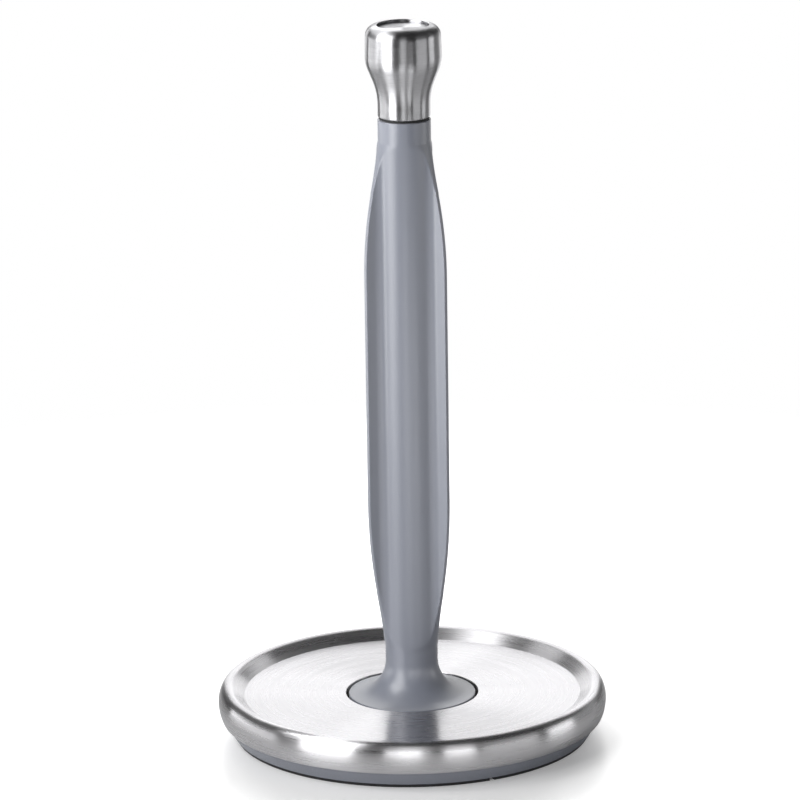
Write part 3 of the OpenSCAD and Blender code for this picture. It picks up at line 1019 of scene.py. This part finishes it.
@dataclass
class Studio:
    """White table in a dark room, softboxes and cards round it, and the camera."""

    # The table, and the ring at its edge in which it melts away
    floor_r: float = 0.62
    floor_fade: float = 0.12
    floor_edge: float = 0.01
    floor_white: str = "#e6e6e6"
    # Painted light: how much lighter the camera sees the table, which lifts the object's
    # shadow on it a little past the foot ring, and more in the open. The shadow is widest in
    # front, so the open is measured from the point shade there
    floor_glow: float = 0.22
    glow_from: float = 0.083
    glow_full: float = 0.088
    open_glow: float = 0.6
    open_from: float = 0.07
    open_full: float = 0.14
    shade: tuple[float, float, float] = (0.0, -0.05, 0.0)
    dark_room: float = 0.03
    # The camera: degrees above the table and of roll, metres to the point it looks at, millimetres
    # of lens and sensor
    elevation: float = 15.379
    distance: float = 2.740
    roll: float = 0.832
    aim: tuple[float, float, float] = (-0.0039, 0.0, 0.1676)
    lens: float = 255.05
    sensor: float = 36.0
    lamps: tuple[Softbox, ...] = (
        Softbox("key_softbox", -50.5, 1.3, -1.0, 2.0, 0.72, 3.3),
        Softbox("left_softbox", -77, 0.55, 0.34, 1.0, 0.2, 4.2),
        Softbox("top_softbox", -122, 0.25, 0.46, 0.88, 0.8, 1.1),
        Softbox("shoulder_card", -146, 0.35, 0.26, 0.43, 0.15, 0.9),
        Softbox("back_low_card", 180, 0.6, 0.0, 0.24, 0.52, 0.84),
        Softbox("back_mid_card", 180, 1.2, 0.13, 0.62, 0.5, 0.38),
        Softbox("back_sweep", -178, 1.8, 0.75, 2.4, 1.3, 1.24),
        Softbox("back_right_softbox", 147, 0.42, 0.14, 0.36, 0.16, 0.85),
        Softbox("left_card", -107, 1.5, -0.3, 0.2, 1.3, 1.9),
        Softbox("right_card", 94, 1.5, -0.1, 0.45, 0.56, 1.6),
        Softbox("right_fill", 120, 1.5, -0.3, 0.6, 0.9, 0.25),
        Softbox("front_right_card", 58, 1.5, -0.6, 0.52, 1.0, 0.75),
        Softbox("low_card", 24, 0.4, 0.0, 0.15, 0.115, 1.8),
        Softbox("front_strip", -5, 0.4, 0.0, 0.15, 0.13, 1.6),
        Softbox("front_tall_card", 1, 1.5, -0.4, 0.95, 0.5, 0.55),
    )

    def camera(self) -> None:
        """Sets the camera up: a long lens, a little above the object and rolled a hair."""
        tilt, roll = math.radians(self.elevation), math.radians(self.roll)
        back = Vector((0, -math.cos(tilt), math.sin(tilt)))
        right, up = Vector((1, 0, 0)), Vector((0, math.sin(tilt), math.cos(tilt)))
        across = right * math.cos(roll) - up * math.sin(roll)
        rise = right * math.sin(roll) + up * math.cos(roll)
        data = bpy.data.cameras.new("camera")
        data.lens, data.sensor_width = self.lens, self.sensor
        data.clip_start, data.clip_end = 0.1, 50
        eye = bpy.data.objects.new("camera", data)
        bpy.context.scene.collection.objects.link(eye)
        place = Vector(self.aim) + back * self.distance
        turn = Matrix((across, rise, back)).transposed().to_4x4()
        eye.matrix_world = Matrix.Translation(place) @ turn
        bpy.context.scene.camera = eye

    def floor(self) -> None:
        """Lays a white table that melts into the sweep at its edge, keeps the shadow by the foot
        ring and lifts it further out with painted light.
        """
        shape = bmesh.new()
        bmesh.ops.create_circle(shape, cap_ends=True, segments=96, radius=self.floor_r)
        mesh = bpy.data.meshes.new("white_table")
        shape.to_mesh(mesh)
        shape.free()
        table = bpy.data.objects.new("white_table", mesh)
        bpy.context.scene.collection.objects.link(table)
        material, tree = new_material("satin_white_table")
        place = add_node(tree, "ShaderNodeTexCoord").outputs["Object"]
        reach, away = (
            add_node(
                tree, "ShaderNodeVectorMath", {0: place, 1: centre}, operation="DISTANCE"
            ).outputs["Value"]
            for centre in ((0.0, 0.0, 0.0), self.shade)
        )
        fade, near, far = (
            add_node(
                tree,
                "ShaderNodeMapRange",
                {"Value": way, "From Min": start, "From Max": full, "To Min": 0.0, "To Max": level},
                interpolation_type="SMOOTHSTEP",
            ).outputs[0]
            for way, start, full, level in (
                (reach, self.floor_r - self.floor_fade, self.floor_r - self.floor_edge, 1.0),
                (reach, self.glow_from, self.glow_full, self.floor_glow),
                (away, self.open_from, self.open_full, self.open_glow),
            )
        )
        # Painted light: camera-only glow that lightens the table's shadow beyond the foot ring
        both = add_node(tree, "ShaderNodeMath", {0: near, 1: far}, operation="ADD").outputs[0]
        seen = add_node(tree, "ShaderNodeLightPath").outputs["Is Camera Ray"]
        glow = add_node(tree, "ShaderNodeMath", {0: seen, 1: both}, operation="MULTIPLY")
        matt = add_node(
            tree,
            "ShaderNodeBsdfPrincipled",
            {
                "Base Color": linear(self.floor_white),
                "Roughness": 0.3,
                "Emission Color": (1, 1, 1, 1),
                "Emission Strength": glow.outputs[0],
            },
        )
        clear = add_node(tree, "ShaderNodeBsdfTransparent")
        shaders = {0: fade, 1: matt.outputs[0], 2: clear.outputs[0]}
        mixed = add_node(tree, "ShaderNodeMixShader", shaders)
        add_node(tree, "ShaderNodeOutputMaterial", {"Surface": mixed.outputs[0]})
        mesh.materials.append(material)

    def world(self) -> None:
        """Makes the surroundings: white to the camera, and a dark room to all else."""
        world = bpy.data.worlds.new("studio_world")
        bpy.context.scene.world = world
        world.use_nodes = True
        tree = world.node_tree
        tree.nodes.clear()
        seen = add_node(tree, "ShaderNodeLightPath").outputs["Is Camera Ray"]
        levels = {0: seen, 2: self.dark_room, 3: 1.0}
        level = add_node(tree, "ShaderNodeMix", levels, data_type="FLOAT")
        white = {"Color": (1, 1, 1, 1), "Strength": level.outputs[0]}
        glow = add_node(tree, "ShaderNodeBackground", white)
        add_node(tree, "ShaderNodeOutputWorld", {"Surface": glow.outputs[0]})

    def build(self) -> None:
        """Builds the camera, the floor, the surroundings and the lamps."""
        self.camera()
        self.floor()
        self.world()
        for lamp in self.lamps:
            lamp.build()
        bpy.context.scene.view_settings.view_transform = "Standard"
        log.info("studio: %d lamps", len(self.lamps))


def main() -> None:
    """Builds the studio and the holder's sub-assemblies in order."""
    logging.basicConfig(level=logging.INFO, format="%(name)s: %(message)s")
    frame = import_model()
    Studio().build()
    for assembly in (Base, Hub, Mast, Knob):
        assembly(frame["nodes"]).build()


if __name__ == "__main__":
    main()
